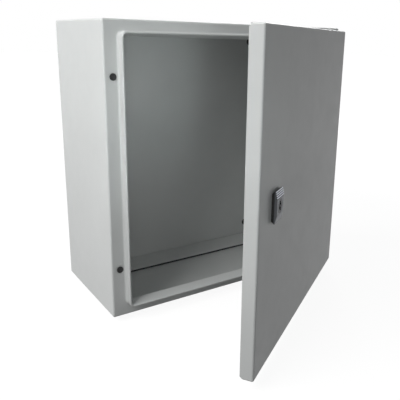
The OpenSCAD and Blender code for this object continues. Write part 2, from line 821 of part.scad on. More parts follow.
module lock_cam_washer() {
  color(zinc_grey) on_door() translate([lock_x, cam_foot_y + cam_t, 0]) rotate([-90, 0, 0])
    washer(cam_washer_d, cam_washer_t, cam_screw_d + 2 * seam_gap);
}

module lock_cam_screw() {
  bar_l = cam_screw_deep + cam_washer_t;
  color(zinc_grey) on_door() translate([lock_x, cam_foot_y + cam_t + cam_washer_t, 0]) {
    rotate([-90, 0, 0]) cylinder(d = cam_head_d, h = cam_head_h);
    to_front() tipped_bar(cam_screw_d, bar_l - tip_cut);
  }
}

body_wrap();
back_panel();
hinge_hole_plugs();
wall_hole_seals();
mounting_studs();
gland_gasket();
gland_plate();
gland_screws();
gland_weld_nuts();
body_earth_stud();
body_earth_washer();
body_earth_nut();
upper_hinge_post();
lower_hinge_post();
hinge_post_washers();
hinge_post_nuts();
door_panel();
door_gasket();
upper_hinge_bracket();
lower_hinge_bracket();
upper_hinge_pin();
lower_hinge_pin();
door_earth_stud();
door_earth_washer();
door_earth_nut();
lock_seal();
lock_housing();
lock_nut();
lock_core();
lock_cam();
lock_cam_washer();
lock_cam_screw();
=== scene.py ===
import json
import math
import bmesh
import bpy
from mathutils import Matrix, Vector


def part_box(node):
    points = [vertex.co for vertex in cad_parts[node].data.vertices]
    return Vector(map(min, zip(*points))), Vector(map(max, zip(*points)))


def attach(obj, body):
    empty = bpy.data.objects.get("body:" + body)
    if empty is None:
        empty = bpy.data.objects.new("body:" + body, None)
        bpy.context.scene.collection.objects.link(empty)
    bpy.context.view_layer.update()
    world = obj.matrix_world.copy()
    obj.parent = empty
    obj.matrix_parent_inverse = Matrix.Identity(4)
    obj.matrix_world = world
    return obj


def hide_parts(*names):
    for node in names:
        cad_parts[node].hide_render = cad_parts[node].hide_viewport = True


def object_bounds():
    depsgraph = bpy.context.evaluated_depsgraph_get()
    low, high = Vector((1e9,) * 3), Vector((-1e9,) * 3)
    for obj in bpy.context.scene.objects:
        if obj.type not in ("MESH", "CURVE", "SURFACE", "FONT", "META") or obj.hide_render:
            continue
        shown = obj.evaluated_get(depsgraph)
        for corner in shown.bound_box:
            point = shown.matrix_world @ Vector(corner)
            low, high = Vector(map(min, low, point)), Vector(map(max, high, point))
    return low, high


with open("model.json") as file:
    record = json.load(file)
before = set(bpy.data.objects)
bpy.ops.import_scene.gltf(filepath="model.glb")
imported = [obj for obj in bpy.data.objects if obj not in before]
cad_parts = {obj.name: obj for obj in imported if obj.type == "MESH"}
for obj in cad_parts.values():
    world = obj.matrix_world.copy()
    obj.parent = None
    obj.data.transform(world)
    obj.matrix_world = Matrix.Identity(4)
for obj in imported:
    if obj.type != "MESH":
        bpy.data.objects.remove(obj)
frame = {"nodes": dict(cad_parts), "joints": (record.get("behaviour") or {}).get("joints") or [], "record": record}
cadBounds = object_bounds()
nodes = frame["nodes"]
joints = {joint["name"]: joint for joint in frame["joints"]}
mm = 0.001                      # sizes of shapes are in millimetres; meshes, lamps and camera in metres


# the door is made closed, then swung about its hinge to where it stands at rest
hinge = joints["door_hinge"]
hingePin = Vector(hinge["pos_m"])
doorAngle = -math.radians(hinge["range_deg"][0])
swing = Matrix.Translation(hingePin) @ Matrix.Rotation(doorAngle, 4, "Z") @ Matrix.Translation(-hingePin)
toFront = Matrix.Rotation(math.radians(90), 4, "X")      # turns +Z to -Y
toBack = Matrix.Rotation(math.radians(-90), 4, "X")      # turns +Z to +Y


def newObject(name, data):
    thing = bpy.data.objects.new(name, data)
    bpy.context.scene.collection.objects.link(thing)
    return thing


# materials
def newMaterial(name, base, rough, metal=0.0):
    material = bpy.data.materials.new(name)
    material.use_nodes = True
    shader = material.node_tree.nodes["Principled BSDF"]
    shader.inputs["Base Color"].default_value = (*base, 1)
    shader.inputs["Roughness"].default_value = rough
    shader.inputs["Metallic"].default_value = metal
    return material, material.node_tree, shader


def addNode(tree, kind, options=None, **sockets):
    # a socket takes a plain value or another node's output
    node = tree.nodes.new(kind)
    for option, value in (options or {}).items():
        setattr(node, option, value)
    for label, value in sockets.items():
        numbered = label[0] == "i" and label[1:].isdigit()       # i0, i1: sockets by their order
        socket = node.inputs[int(label[1:])] if numbered else node.inputs[label]
        if isinstance(value, bpy.types.NodeSocket):
            tree.links.new(value, socket)
        else:
            socket.default_value = value
    return node


def calc(tree, operation, first, second=0.0):
    return addNode(tree, "ShaderNodeMath", {"operation": operation}, i0=first, i1=second).outputs[0]


def noiseField(tree, scale, detail=2.0, stretch=(1, 1, 1)):
    # noise in object coordinates, scale in features per metre
    place = tree.nodes.new("ShaderNodeTexCoord").outputs["Object"]
    mapping = addNode(tree, "ShaderNodeMapping", Vector=place, Scale=stretch)
    noise = addNode(tree, "ShaderNodeTexNoise", Vector=mapping.outputs[0], Scale=scale, Detail=detail)
    return noise.outputs["Fac"]


noiseSpan = (0.3, 0.7)          # where most of a noise's values lie


def tint(tree, shader, field, low, high):
    # base colour that drifts between two tones
    ramp = addNode(tree, "ShaderNodeValToRGB", Fac=field)
    for stop, position, colour in zip(ramp.color_ramp.elements, noiseSpan, (low, high)):
        stop.position = position
        stop.color = (*colour, 1)
    tree.links.new(ramp.outputs["Color"], shader.inputs["Base Color"])


def remap(tree, value, fromSpan, toSpan, options=None):
    # a value carried from one span to another
    node = addNode(tree, "ShaderNodeMapRange", options, Value=value)
    node.inputs["From Min"].default_value, node.inputs["From Max"].default_value = fromSpan
    node.inputs["To Min"].default_value, node.inputs["To Max"].default_value = toSpan
    return node.outputs["Result"]


def relief(tree, shader, field, height, strength, under):
    # bump of a given height in metres, over another one or none
    bump = addNode(tree, "ShaderNodeBump", Distance=height, Strength=strength, Height=field)
    if under:
        tree.links.new(under, bump.inputs["Normal"])
    tree.links.new(bump.outputs["Normal"], shader.inputs["Normal"])
    return bump.outputs["Normal"]


def coating(look):
    # plain is (colour, roughness, metal), a noise (features per metre, detail),
    # a bump (noise, height, strength)
    material, tree, shader = newMaterial(look["name"], *look["plain"])
    tint(tree, shader, noiseField(tree, *look["toneNoise"]), look["dark"], look["light"])
    rough = remap(tree, noiseField(tree, *look["roughNoise"]), noiseSpan, look["rough"])
    tree.links.new(rough, shader.inputs["Roughness"])
    under = None
    for noise, height, strength in look["bumps"]:
        under = relief(tree, shader, noiseField(tree, *noise), height, strength, under)
    return material, tree, shader


paintLook = {
    "name": "lightGreyPowderCoat", "plain": ((0.618, 0.631, 0.624), 0.30, 0.0),
    "dark": (0.586, 0.599, 0.592), "light": (0.618, 0.631, 0.624), "toneNoise": (14, 3),
    "rough": (0.30, 0.38), "roughNoise": (60, 3),
    "bumps": [((9, 0), 0.00035, 0.5), ((900, 1), 0.00004, 0.55)],      # the sheet's waves, orange peel
}
zincLook = {
    "name": "brightZincPlate", "plain": ((0.62, 0.63, 0.65), 0.3, 1.0),
    "dark": (0.55, 0.555, 0.56), "light": (0.72, 0.73, 0.75), "toneNoise": (160, 3),
    "rough": (0.22, 0.42), "roughNoise": (420, 3), "bumps": [((1500, 3, (1, 1, 0.15)), 0.00002, 0.5)],
}
lockLook = {
    "name": "greyCoatedCasting", "plain": ((0.16, 0.17, 0.19), 0.35, 0.35),
    "dark": (0.19, 0.2, 0.222), "light": (0.235, 0.246, 0.268), "toneNoise": (220, 3),
    "rough": (0.30, 0.42), "roughNoise": (500, 2), "bumps": [((2600, 2), 0.00002, 0.5)],
    "ribHighlightTones": (1, 3), "wearMetal": (0.35, 1),        # the coat's metal grows over the values of the painted rib highlight, as on a coat rubbed bare
}
rubberLook = {
    "name": "blackRubber", "plain": ((0.012, 0.012, 0.012), 0.6, 0.0),
    "dark": (0.009, 0.009, 0.010), "light": (0.019, 0.019, 0.019), "toneNoise": (300, 3),
    "rough": (0.5, 0.7), "roughNoise": (500, 3), "bumps": [((2200, 2), 0.00003, 0.5)],
}
foamLook = {
    "name": "darkFoamSkin", "plain": ((0.03, 0.03, 0.032), 0.55, 0.0),
    "dark": (0.022, 0.022, 0.024), "light": (0.045, 0.045, 0.047), "toneNoise": (90, 4),
    "rough": (0.42, 0.65), "roughNoise": (240, 3),
    "bumps": [((160, 2), 0.00025, 0.6), ((1900, 2), 0.00004, 0.6)],
}


def lockCoating():
    # the mesh's per-face value scales the coat's colour: painted shade in the key's socket, between the ribs and
    # on the cover's bevelled sides, a painted highlight on the ribs; 1 is plain
    material, tree, shader = coating(lockLook)
    coat = shader.inputs["Base Color"].links[0].from_socket
    paintedLight = addNode(tree, "ShaderNodeAttribute", {"attribute_name": "paintedLight"}).outputs["Fac"]
    paintedLightCoat = addNode(tree, "ShaderNodeVectorMath", {"operation": "SCALE"}, i0=coat, Scale=paintedLight)
    tree.links.new(paintedLightCoat.outputs[0], shader.inputs["Base Color"])
    metal = remap(tree, paintedLight, lockLook["ribHighlightTones"], lockLook["wearMetal"])
    tree.links.new(metal, shader.inputs["Metallic"])
    return material


paint, zinc, rubber, foam = [coating(look)[0] for look in (paintLook, zincLook, rubberLook, foamLook)]
lockGrey = lockCoating()
slotMaterial = {"paint": paint, "zinc": zinc, "lock": lockGrey, "rubber": rubber, "foam": foam}
slotOf = {part["node"]: part["material_slot"] for part in frame["record"]["subparts"]}
bodyOf = {name: body for body, names in frame["record"]["behaviour"]["bodies"].items() for name in names}
print("materials ready")


# helpers for meshes, sizes in millimetres
skinMerge, cutMerge = 2e-6, 1e-6        # metres; nearer points of a skin, or of a cut shape, are one


def moved(bm, place):
    bmesh.ops.transform(bm, matrix=place, verts=bm.verts)
    return bm


def merge(bm, distance):
    bmesh.ops.remove_doubles(bm, verts=bm.verts, dist=distance)
    bmesh.ops.dissolve_degenerate(bm, edges=bm.edges, dist=distance)


def makePiece(name, mesh, node):
    # a finished mesh that stands for a CAD node, on that node's body
    piece = newObject(name, mesh)
    mesh.materials.clear()
    mesh.materials.append(slotMaterial[slotOf[node]])
    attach(piece, bodyOf[node])
    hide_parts(node)
    return piece


def editMesh(mesh):
    bm = bmesh.new()
    bm.from_mesh(mesh)
    return bm


def plainMesh(bm, name):
    mesh = bpy.data.meshes.new(name)
    bm.to_mesh(mesh)
    bm.free()
    return mesh


def toMesh(bm, name, place=None, sharpAngle=32):
    mesh = plainMesh(moved(bm, place) if place else bm, name)
    mesh.shade_smooth()
    mesh.set_sharp_from_angle(angle=math.radians(sharpAngle))
    return mesh


def addPiece(name, bm, node, place=None):
    return makePiece(name, toMesh(bm, name, place), node)


def arc(centreX, centreY, radius, startAngle, endAngle, steps):
    angles = [math.radians(startAngle + (endAngle - startAngle) * i / steps) for i in range(steps + 1)]
    return [(centreX + radius * math.cos(a), centreY + radius * math.sin(a)) for a in angles]


def roundCorners(corners, steps=5, hold=0.3):
    # corners are (x, y, radius, tag); returns (x, y, tag) with each corner turned into an arc,
    # and a holding point just past each end so that the flats stay flat
    points = []
    count = len(corners)
    for i, (x, y, radius, tag) in enumerate(corners):
        if not radius:
            points.append((x, y, tag))
            continue
        here = Vector((x, y))
        before = (Vector(corners[i - 1][:2]) - here).normalized()
        after = (Vector(corners[(i + 1) % count][:2]) - here).normalized()
        half = before.angle(after) / 2
        reach = radius / math.tan(half)
        centre = here + (before + after).normalized() * radius / math.sin(half)
        start = here + before * reach - centre
        end = here + after * reach - centre
        turn = start.angle_signed(end)
        points.append((*(here + before * (reach + hold)), tag))
        for k in range(steps + 1):
            spoke = start.copy()
            spoke.rotate(Matrix.Rotation(-turn * k / steps, 2))
            points.append((*(centre + spoke), tag))
        points.append((*(here + after * (reach + hold)), tag))
    return points


def frontLoop(halfW, halfH, radius, depth, steps=8, hold=0.4):
    # rectangle with round corners in the front view, at y = depth
    # no radius is 0, so that all loops have the same number of points
    radius = max(radius, 0.001)
    loop = []
    for turn, signX, signZ in ((0, 1, 1), (90, -1, 1), (180, -1, -1), (270, 1, -1)):
        centreX, centreZ = signX * (halfW - radius), signZ * (halfH - radius)
        ring = arc(centreX, centreZ, radius, turn, turn + 90, steps)
        angles = [math.radians(a) for a in (turn, turn + 90)]
        tangents = [Vector((-math.sin(a), math.cos(a))) for a in angles]
        ring.insert(0, tuple(Vector(ring[0]) - tangents[0] * hold))
        ring.append(tuple(Vector(ring[-1]) + tangents[1] * hold))
        loop += [(x, depth, z) for x, z in ring]
    return loop


def skinLoops(loops, closed, capEnds=False):
    # joins equal loops into a shell, all sizes in millimetres
    bm = bmesh.new()
    rings = [[bm.verts.new(Vector(point) * mm) for point in loop] for loop in loops]
    pairs = list(zip(rings, rings[1:])) + ([(rings[-1], rings[0])] if closed else [])
    for ringA, ringB in pairs:
        count = len(ringA)
        for i in range(count):
            j = (i + 1) % count
            bm.faces.new((ringA[i], ringA[j], ringB[j], ringB[i]))
    if capEnds:
        bm.faces.new(list(reversed(rings[0])))
        bm.faces.new(rings[-1])
    merge(bm, skinMerge)
    bmesh.ops.recalc_face_normals(bm, faces=bm.faces)
    return bm


def spokeRing(bm, radius, height, steps):
    # points round the Z axis
    angles = [math.tau * i / steps for i in range(steps)]
    return [bm.verts.new(Vector((radius * math.cos(a), radius * math.sin(a), height)) * mm) for a in angles]


def lathe(profile, steps, place=None):
    # profile is (radius, height) pairs, from axis to axis
    bm = bmesh.new()
    rings = [spokeRing(bm, radius, height, steps if radius else 1) for radius, height in profile]
    for ringA, ringB in zip(rings, rings[1:]):
        for i in range(steps):
            j = (i + 1) % steps
            # a ring on the axis is a single point
            corners = [ringA[i % len(ringA)], ringA[j % len(ringA)],
                       ringB[j % len(ringB)], ringB[i % len(ringB)]]
            corners = list(dict.fromkeys(corners))
            if len(corners) > 2:
                bm.faces.new(corners)
    bmesh.ops.recalc_face_normals(bm, faces=bm.faces)
    return moved(bm, place) if place else bm


def boxMesh(low, high):
    # box between two corners in millimetres
    bm = bmesh.new()
    bmesh.ops.create_cube(bm, size=1)
    size = Vector(high) - Vector(low)
    middle = (Vector(high) + Vector(low)) / 2
    for vert in bm.verts:
        vert.co = Vector([(middle[i] + vert.co[i] * size[i]) * mm for i in range(3)])
    return bm


def carve(bm, cutters):
    # takes every cutter away from the mesh
    shapes = [newObject("carveShape", plainMesh(shape, "carveShape")) for shape in (bm, *cutters)]
    target = shapes[0]
    for tool in shapes[1:]:
        modifier = target.modifiers.new("carve", "BOOLEAN")
        modifier.operation = "DIFFERENCE"
        modifier.solver = "EXACT"
        modifier.object = tool
    evaluated = target.evaluated_get(bpy.context.evaluated_depsgraph_get())
    result = editMesh(bpy.data.meshes.new_from_object(evaluated))
    merge(result, cutMerge)
    for shape in shapes:
        bpy.data.objects.remove(shape)
    return result


def at(x, y, z):
    return Matrix.Translation(Vector((x, y, z)) * mm)


def nodeBox(node):
    # a node's corners in millimetres
    low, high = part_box(node)
    return low / mm, high / mm


# the nodes' own meshes, copied and finished
finishShape = {
    "merge": 0.001,         # nearer points than this are one
    "flat": 0.4,            # degrees under which neighbouring faces are one
    "softFrom": 28,         # edges that turn more than this are softened
    "shade": 22,            # degrees from which shading breaks, so that flats stay flat
}


def copyOf(node):
    bm = moved(editMesh(nodes[node].data), nodes[node].matrix_world)
    bmesh.ops.remove_doubles(bm, verts=bm.verts, dist=finishShape["merge"] * mm)
    return flattened(bm)


def flattened(bm):
    # neighbouring faces that lie flat become one
    flat = math.radians(finishShape["flat"])
    bmesh.ops.dissolve_limit(bm, angle_limit=flat, verts=bm.verts, edges=bm.edges)
    return bm


def soften(bm, width, segments=2):
    # rounds the sharp edges
    sharpFrom = math.radians(finishShape["softFrom"])
    edges = [edge for edge in bm.edges if len(edge.link_faces) == 2 and edge.calc_face_angle() > sharpFrom]
    bmesh.ops.bevel(bm, geom=edges, offset=width * mm, segments=segments, affect="EDGES", profile=0.5,
                    clamp_overlap=True)
    merge(bm, skinMerge)
    return bm


def finished(bm, node):
    name = node + "Finish"
    return makePiece(name, toMesh(bm, name, None, finishShape["shade"]), node)


def refined(node, width):
    return finished(soften(copyOf(node), width), node)


def doorBox(node):
    # a door node's corners in millimetres with the door closed
    toClosed = swing.inverted() @ nodes[node].matrix_world
    points = [toClosed @ vert.co / mm for vert in nodes[node].data.vertices]
    return [Vector([pick(point[i] for point in points) for i in range(3)]) for pick in (min, max)]


def joined(parts):
    # several closed shells in one mesh
    bm = bmesh.new()
    for part in parts:
        mesh = plainMesh(part, "joinedShell")
        bm.from_mesh(mesh)
        bpy.data.meshes.remove(mesh)
    return bm


# node trees for what repeats or follows a path
def newTree(name, inputs):
    tree = bpy.data.node_groups.new(name, "GeometryNodeTree")
    tree.interface.new_socket(name="Geometry", in_out="INPUT", socket_type="NodeSocketGeometry")
    for label, kind in inputs.items():
        tree.interface.new_socket(name=label, in_out="INPUT", socket_type="NodeSocket" + kind)
    tree.interface.new_socket(name="Material", in_out="INPUT", socket_type="NodeSocketMaterial")
    tree.interface.new_socket(name="Geometry", in_out="OUTPUT", socket_type="NodeSocketGeometry")
    return tree, tree.nodes.new("NodeGroupInput")


def endTree(tree, source, geometry):
    real = addNode(tree, "GeometryNodeRealizeInstances", Geometry=geometry)
    coated = addNode(tree, "GeometryNodeSetMaterial", Geometry=real.outputs[0],
                     Material=source.outputs["Material"])
    tree.links.new(coated.outputs[0], tree.nodes.new("NodeGroupOutput").inputs[0])
    return tree


def runTree(tree, material, values, points=()):
    # turns a tree's result into a plain mesh
    seed = bpy.data.meshes.new("treeSeed")
    seed.from_pydata([Vector(point) * mm for point in points], [], [])
    holder = newObject("treeHolder", seed)
    modifier = holder.modifiers.new("tree", "NODES")
    modifier.node_group = tree
    for item in tree.interface.items_tree:
        if item.in_out == "INPUT" and item.name in values:
            modifier[item.identifier] = values[item.name]
        if item.in_out == "INPUT" and item.name == "Material":
            modifier[item.identifier] = material
    graph = bpy.context.evaluated_depsgraph_get()
    mesh = bpy.data.meshes.new_from_object(holder.evaluated_get(graph))
    bpy.data.objects.remove(holder)
    return mesh


def makeCopyTree():
    tree, source = newTree("copiesOnPoints", {"Template": "Object"})
    info = addNode(tree, "GeometryNodeObjectInfo", Object=source.outputs["Template"])
    copies = addNode(tree, "GeometryNodeInstanceOnPoints", Points=source.outputs[0],
                     Instance=info.outputs["Geometry"])
    return endTree(tree, source, copies.outputs[0])


def makeThreadTree():
    # a bar whose radius follows a helix, with a chamfered tip
    sizes = dict.fromkeys(("Radius", "Length", "Pitch", "Depth", "Tip"), "Float")
    tree, source = newTree("threadedBar", {**sizes, "Sides": "Int", "Rings": "Int"})
    take = source.outputs
    bar = addNode(tree, "GeometryNodeMeshCylinder", Vertices=take["Sides"], Radius=take["Radius"],
                  Depth=take["Length"])
    tree.links.new(take["Rings"], bar.inputs["Side Segments"])
    position = addNode(tree, "GeometryNodeInputPosition").outputs[0]
    x, y, z = addNode(tree, "ShaderNodeSeparateXYZ", Vector=position).outputs
    height = calc(tree, "ADD", z, calc(tree, "MULTIPLY", take["Length"], 0.5))
    turns = calc(tree, "SUBTRACT", calc(tree, "DIVIDE", height, take["Pitch"]),
                 calc(tree, "DIVIDE", calc(tree, "ARCTAN2", y, x), math.tau))
    wave = calc(tree, "COSINE", calc(tree, "MULTIPLY", turns, math.tau))
    halfDepth = calc(tree, "MULTIPLY", take["Depth"], 0.5)
    dip = calc(tree, "MULTIPLY", calc(tree, "SUBTRACT", 1.0, wave), halfDepth)
    pastTip = calc(tree, "SUBTRACT", height, calc(tree, "SUBTRACT", take["Length"], take["Tip"]))
    cut = calc(tree, "MAXIMUM", dip, pastTip)
    scale = calc(tree, "SUBTRACT", 1.0, calc(tree, "DIVIDE", cut, take["Radius"]))
    shifted = addNode(tree, "ShaderNodeCombineXYZ", X=calc(tree, "MULTIPLY", x, scale),
                      Y=calc(tree, "MULTIPLY", y, scale), Z=height)
    shaped = addNode(tree, "GeometryNodeSetPosition", Geometry=bar.outputs["Mesh"],
                     Position=shifted.outputs[0])
    return endTree(tree, source, shaped.outputs[0])


def makeRibTree():
    # equal bars stepped along a line
    tree, source = newTree("gripRibs", {"Count": "Int", "Step": "Vector", "Size": "Vector"})
    take = source.outputs
    line = addNode(tree, "GeometryNodeMeshLine", Count=take["Count"], Offset=take["Step"])
    bar = addNode(tree, "GeometryNodeMeshCube", Size=take["Size"])
    ribs = addNode(tree, "GeometryNodeInstanceOnPoints", Points=line.outputs[0],
                   Instance=bar.outputs["Mesh"])
    return endTree(tree, source, ribs.outputs[0])


threadShape = {
    "depth": 0.55,          # of the pitch
    "tip": 0.8,             # chamfer of the tip
    "ringsPerTurn": 8,
    "sides": 28,
    "coarseM8": 1.25,       # pitches
    "coarseM6": 1.0,
    "play": 0.2,            # a nut's bore over its bar
}
copyTree, threadTree, ribTree = makeCopyTree(), makeThreadTree(), makeRibTree()


def threadedBar(diameter, length, pitch, sides=threadShape["sides"]):
    # stands on z = 0
    s = threadShape
    values = {"Radius": diameter / 2 * mm, "Length": length * mm, "Pitch": pitch * mm,
              "Depth": pitch * s["depth"] * mm, "Tip": s["tip"] * mm, "Sides": sides,
              "Rings": round(length / pitch * s["ringsPerTurn"])}
    bm = editMesh(runTree(threadTree, zinc, values))
    bmesh.ops.recalc_face_normals(bm, faces=bm.faces)
    return bm


def copiesAt(node, template, places, place=None):
    # one template on every place, all in one piece
    holder = newObject("template", toMesh(template, "template", place))
    mesh = runTree(copyTree, slotMaterial[slotOf[node]], {"Template": holder}, places)
    bpy.data.objects.remove(holder)
    return makePiece(node + "Set", mesh, node)


# body: one folded sheet with its rain rim
bodyShape = {
    "sheet": 1.5,           # sheet thickness
    "bend": 2.5,            # outer radius of the folds
    "sideFlange": 20,       # front flange beside the rim
    "endFlange": 14.5,      # front flange above and below the rim
    "rimHeight": 12,
    "rimCorner": 8,
    "rimFoot": 2.6,         # inner radius where flange turns into rim
    "rimLean": 14,          # degrees that the inner leg leans
    "rimTail": 4,           # reach of the inner leg behind the flange
    "edge": 0.25,           # softened sheet edges
    "hingeHoleSide": 12,
    "hingeHoleEnd": 70,
    "hingeHole": 8.4,
    "holeEdge": 0.2,        # softened edge of a hinge hole
    "seat": 12.2,           # shallow seat round each hinge hole
    "seatDeep": 0.5,
    "seatFoot": 0.15,
    "seatBlend": 0.35,      # how far the seat's edge is drawn over
    "past": 1,              # how far a cut runs past a face
    "glandLap": 13,         # what the cable plate's gasket lies on, round the opening
    "glandCorner": 6,
}
bodyLow, bodyHigh = nodeBox("body_wrap")
bodyHalfW, bodyHalfH = bodyHigh.x, bodyHigh.z
flangeY = bodyLow.y + bodyShape["rimHeight"]


def bodyProfile():
    # closed section of the folded sheet, as (inset from the side, y, zone)
    s = bodyShape
    crestY = bodyLow.y + s["sheet"]
    lean = math.radians(s["rimLean"])
    legLength = (s["rimHeight"] - s["sheet"] + s["rimTail"]) / math.cos(lean)
    along = Vector((math.sin(lean), math.cos(lean)))
    inward = Vector((math.cos(lean), -math.sin(lean)))
    rim = s["sideFlange"]
    crest = Vector((rim + s["sheet"], crestY))
    innerEnd = crest + inward * s["sheet"] + along * legLength
    outerEnd = crest + along * legLength
    crestArc = [(*point, 0, "rim") for point in arc(*crest, s["sheet"], 180, 360 - s["rimLean"], steps=12)]
    backOfFlange = flangeY + s["sheet"]
    corners = [
        (0, 0, s["edge"], "wall"), (0, flangeY, s["bend"], "wall"), (rim, flangeY, s["rimFoot"], "rim"),
        *crestArc, (*innerEnd, s["edge"] * 2, "rim"), (*outerEnd, s["edge"] * 2, "rim"), (*crest, 0, "rim"),
        (rim + s["sheet"], backOfFlange, s["rimFoot"] + s["sheet"], "rim"),
        (s["sheet"], backOfFlange, s["bend"] - s["sheet"], "wall"), (s["sheet"], 0, s["edge"], "wall"),
    ]
    return roundCorners(corners)


def bodyLoops():
    s = bodyShape
    loops = []
    for inset, y, zone in bodyProfile():
        if zone == "wall":
            halfH, radius = bodyHalfH - inset, s["bend"] - inset
        else:
            within = inset - s["sideFlange"]
            halfH, radius = bodyHalfH - s["endFlange"] - within, s["rimCorner"] - within
        loops.append(frontLoop(bodyHalfW - inset, halfH, radius, y))
    return loops


def hingeHoles():
    # middles of the two spare holes and of the two used ones
    s = bodyShape
    x = bodyHalfW - s["hingeHoleSide"]
    z = bodyHalfH - s["hingeHoleEnd"]
    return [(signX * x, signZ * z) for signX in (-1, 1) for signZ in (-1, 1)]


def hingeHoleCutter(x, z):
    # the hole, its softened edge, the seat and the seat's drawn edge
    s = bodyShape
    hole, seat, deep = s["hingeHole"] / 2, s["seat"] / 2, s["seatDeep"]
    inwards, outwards = -9, 2
    profile = [(0, inwards), (hole, inwards), (hole, -s["holeEdge"]), (hole + s["holeEdge"], 0),
               (seat - s["seatFoot"], 0), (seat, s["seatFoot"]), (seat, deep - 0.25),
               (seat + s["seatBlend"], deep + 0.05), (seat + s["seatBlend"], outwards), (0, outwards)]
    return lathe(profile, 48, at(x, flangeY + deep, z) @ toFront)


def glandOpening():
    s = bodyShape
    low, high = nodeBox("gland_gasket")
    halfW, halfD = (high.x - low.x) / 2 - s["glandLap"], (high.y - low.y) / 2 - s["glandLap"]
    middleY = (high.y + low.y) / 2
    ring = frontLoop(halfW, halfD, s["glandCorner"], 0)
    levels = (-bodyHalfH - s["past"], -bodyHalfH + s["sheet"] + s["past"])
    return skinLoops([[(x, middleY + z, level) for x, _, z in ring] for level in levels], False, True)


def makeBody():
    cutters = [hingeHoleCutter(x, z) for x, z in hingeHoles()] + [glandOpening()]
    addPiece("bodyShell", carve(skinLoops(bodyLoops(), True), cutters), "body_wrap")


makeBody()
print("body made")


# door: a pan folded from one sheet
doorShape = {
    "sheet": 1.5,
    "bend": 2.5,
    "corner": 2,
    "margin": 5,            # from the body's edge to the door's edge
    "depth": 17,
    "gap": 3,               # closed door's edge to the front flange
    "edge": 0.25,
    "cornerCut": 4,         # chamfer where the flanges meet
    "cap": 12,              # how far in from the edge the pan's flat begins, in the skin
    "notchHalf": 11.8,      # half height of a hinge notch
    "notchRound": 1.5,
    "past": 1,              # how far a cut runs past a face
    "barrelHole": 22.2,
    "lockEdge": 54,         # free edge to the middle of the lock
}
doorHalfW = bodyHalfW - doorShape["margin"]
doorHalfH = bodyHalfH - doorShape["margin"]
doorBackY = flangeY - doorShape["gap"]
doorFrontY = doorBackY - doorShape["depth"]
lockX = doorShape["lockEdge"] - doorHalfW


def doorLoops():
    # from the inner flat round the flange to the outer flat
    s = doorShape
    sheet, cap = s["sheet"], s["cap"]
    corners = [(0, doorBackY, s["edge"], 0), (0, doorFrontY, s["bend"], 0), (cap, doorFrontY, 0, 0),
               (cap, doorFrontY + sheet, 0, 0), (sheet, doorFrontY + sheet, s["bend"] - sheet, 0),
               (sheet, doorBackY, s["edge"], 0)]
    points = roundCorners(corners)
    flat = next(i for i, point in enumerate(points) if point[:2] == (cap, doorFrontY + sheet))
    points = points[flat:] + points[:flat]
    return [frontLoop(doorHalfW - inset, doorHalfH - inset, s["corner"] - inset, y)
            for inset, y, _ in points]


def hingeNotch(middle):
    s = doorShape
    low = (doorHalfW - s["sheet"] - s["past"], doorFrontY + s["bend"], middle - s["notchHalf"])
    high = (doorHalfW + s["past"], doorBackY + s["past"], middle + s["notchHalf"])
    notch = boxMesh(low, high)
    across = [edge for edge in notch.edges if abs(edge.verts[0].co.x - edge.verts[1].co.x) > 1e-6]
    front = [edge for edge in across if edge.verts[0].co.y < (doorFrontY + s["bend"] + 1) * mm]
    bmesh.ops.bevel(notch, geom=front, offset=s["notchRound"] * mm, segments=4, affect="EDGES", profile=0.5)
    return notch


def doorCutters():
    cutters = [hingeNotch(sign * (bodyHalfH - bodyShape["hingeHoleEnd"])) for sign in (-1, 1)]
    for signX in (-1, 1):
        for signZ in (-1, 1):
            cutters += cornerWedges(signX, signZ)
    hole, half = doorShape["barrelHole"] / 2, 3
    cutters.append(lathe([(0, -half), (hole, -half), (hole, half), (0, half)], 64,
                         at(lockX, doorFrontY, 0) @ toFront))
    return cutters


def cornerWedges(signX, signZ):
    # the two sheet-deep chamfers where a side flange and an end flange meet
    s = doorShape
    past, reach, deep = s["past"], s["cornerCut"] + s["past"], s["sheet"] + 0.1
    wedges = []
    for across in (0, 1):
        loops = []
        for depth in (-deep, past):
            places = [(depth, along, forward) if across == 0 else (along, depth, forward)
                      for along, forward in ((past, past), (-reach, past), (past, -reach))]
            loops.append([(signX * (doorHalfW + x), doorBackY + forward, signZ * (doorHalfH + z))
                          for x, z, forward in places])
        wedges.append(skinLoops(loops, False, True))
    return wedges


def makeDoor():
    addPiece("doorPan", carve(skinLoops(doorLoops(), False, True), doorCutters()), "door_panel", swing)


makeDoor()
print("door made")


# fasteners
def lathed(section, steps):
    # a closed section of (radius, height) points, turned about the Z axis, for rings
    angles = [math.tau * i / steps for i in range(steps)]
    return skinLoops([[(r * math.cos(a), r * math.sin(a), h) for r, h in section] for a in angles], True)


hexShape = {
    "face": 0.96,           # of the width over flats, where the turned-down face ends
    "turnDown": 28,         # degrees
    "boreChamfer": 1.3,     # how far the thread's chamfer opens, a little past the face
    "boreChamferDeep": 0.3,
    "over": 0.01,           # how far a turning cut's face lies off the end it leaves flat
    "past": 1,              # how far a cut runs past the corners and ends
}


def hexBody(flats, height, bore=0, chamferLow=True):
    # hexagon with turned-down corners, standing on z = 0
    s = hexShape
    reach = flats / 2 / math.cos(math.radians(30))
    corners = arc(0, 0, reach, 0, 300, 5)           # six points, 60 degrees apart
    loops = [[(x, y, z) for x, y in corners] for z in (0, height)]
    face, past = flats / 2 * s["face"], reach + s["past"]
    drop = (past - face) * math.tan(math.radians(s["turnDown"]))
    top, bottom = height + s["over"], -s["over"]
    cutters = [lathed([(face, top), (past, top), (past, height - drop)], 48)]
    if chamferLow:
        cutters.append(lathed([(face, bottom), (past, drop), (past, bottom)], 48))
    if bore:
        wide, deep = bore / 2 + s["boreChamfer"], s["boreChamferDeep"]
        low, high = -s["past"], height + s["past"]
        cutters.append(lathe([(0, low), (wide, low), (bore / 2, deep), (bore / 2, height - deep),
                              (wide, high), (0, high)], 32))
    return carve(skinLoops(loops, False, True), cutters)


studShape = {"foot": 2.4, "footHeight": 1}        # the weld foot is wider than the stud by "foot"


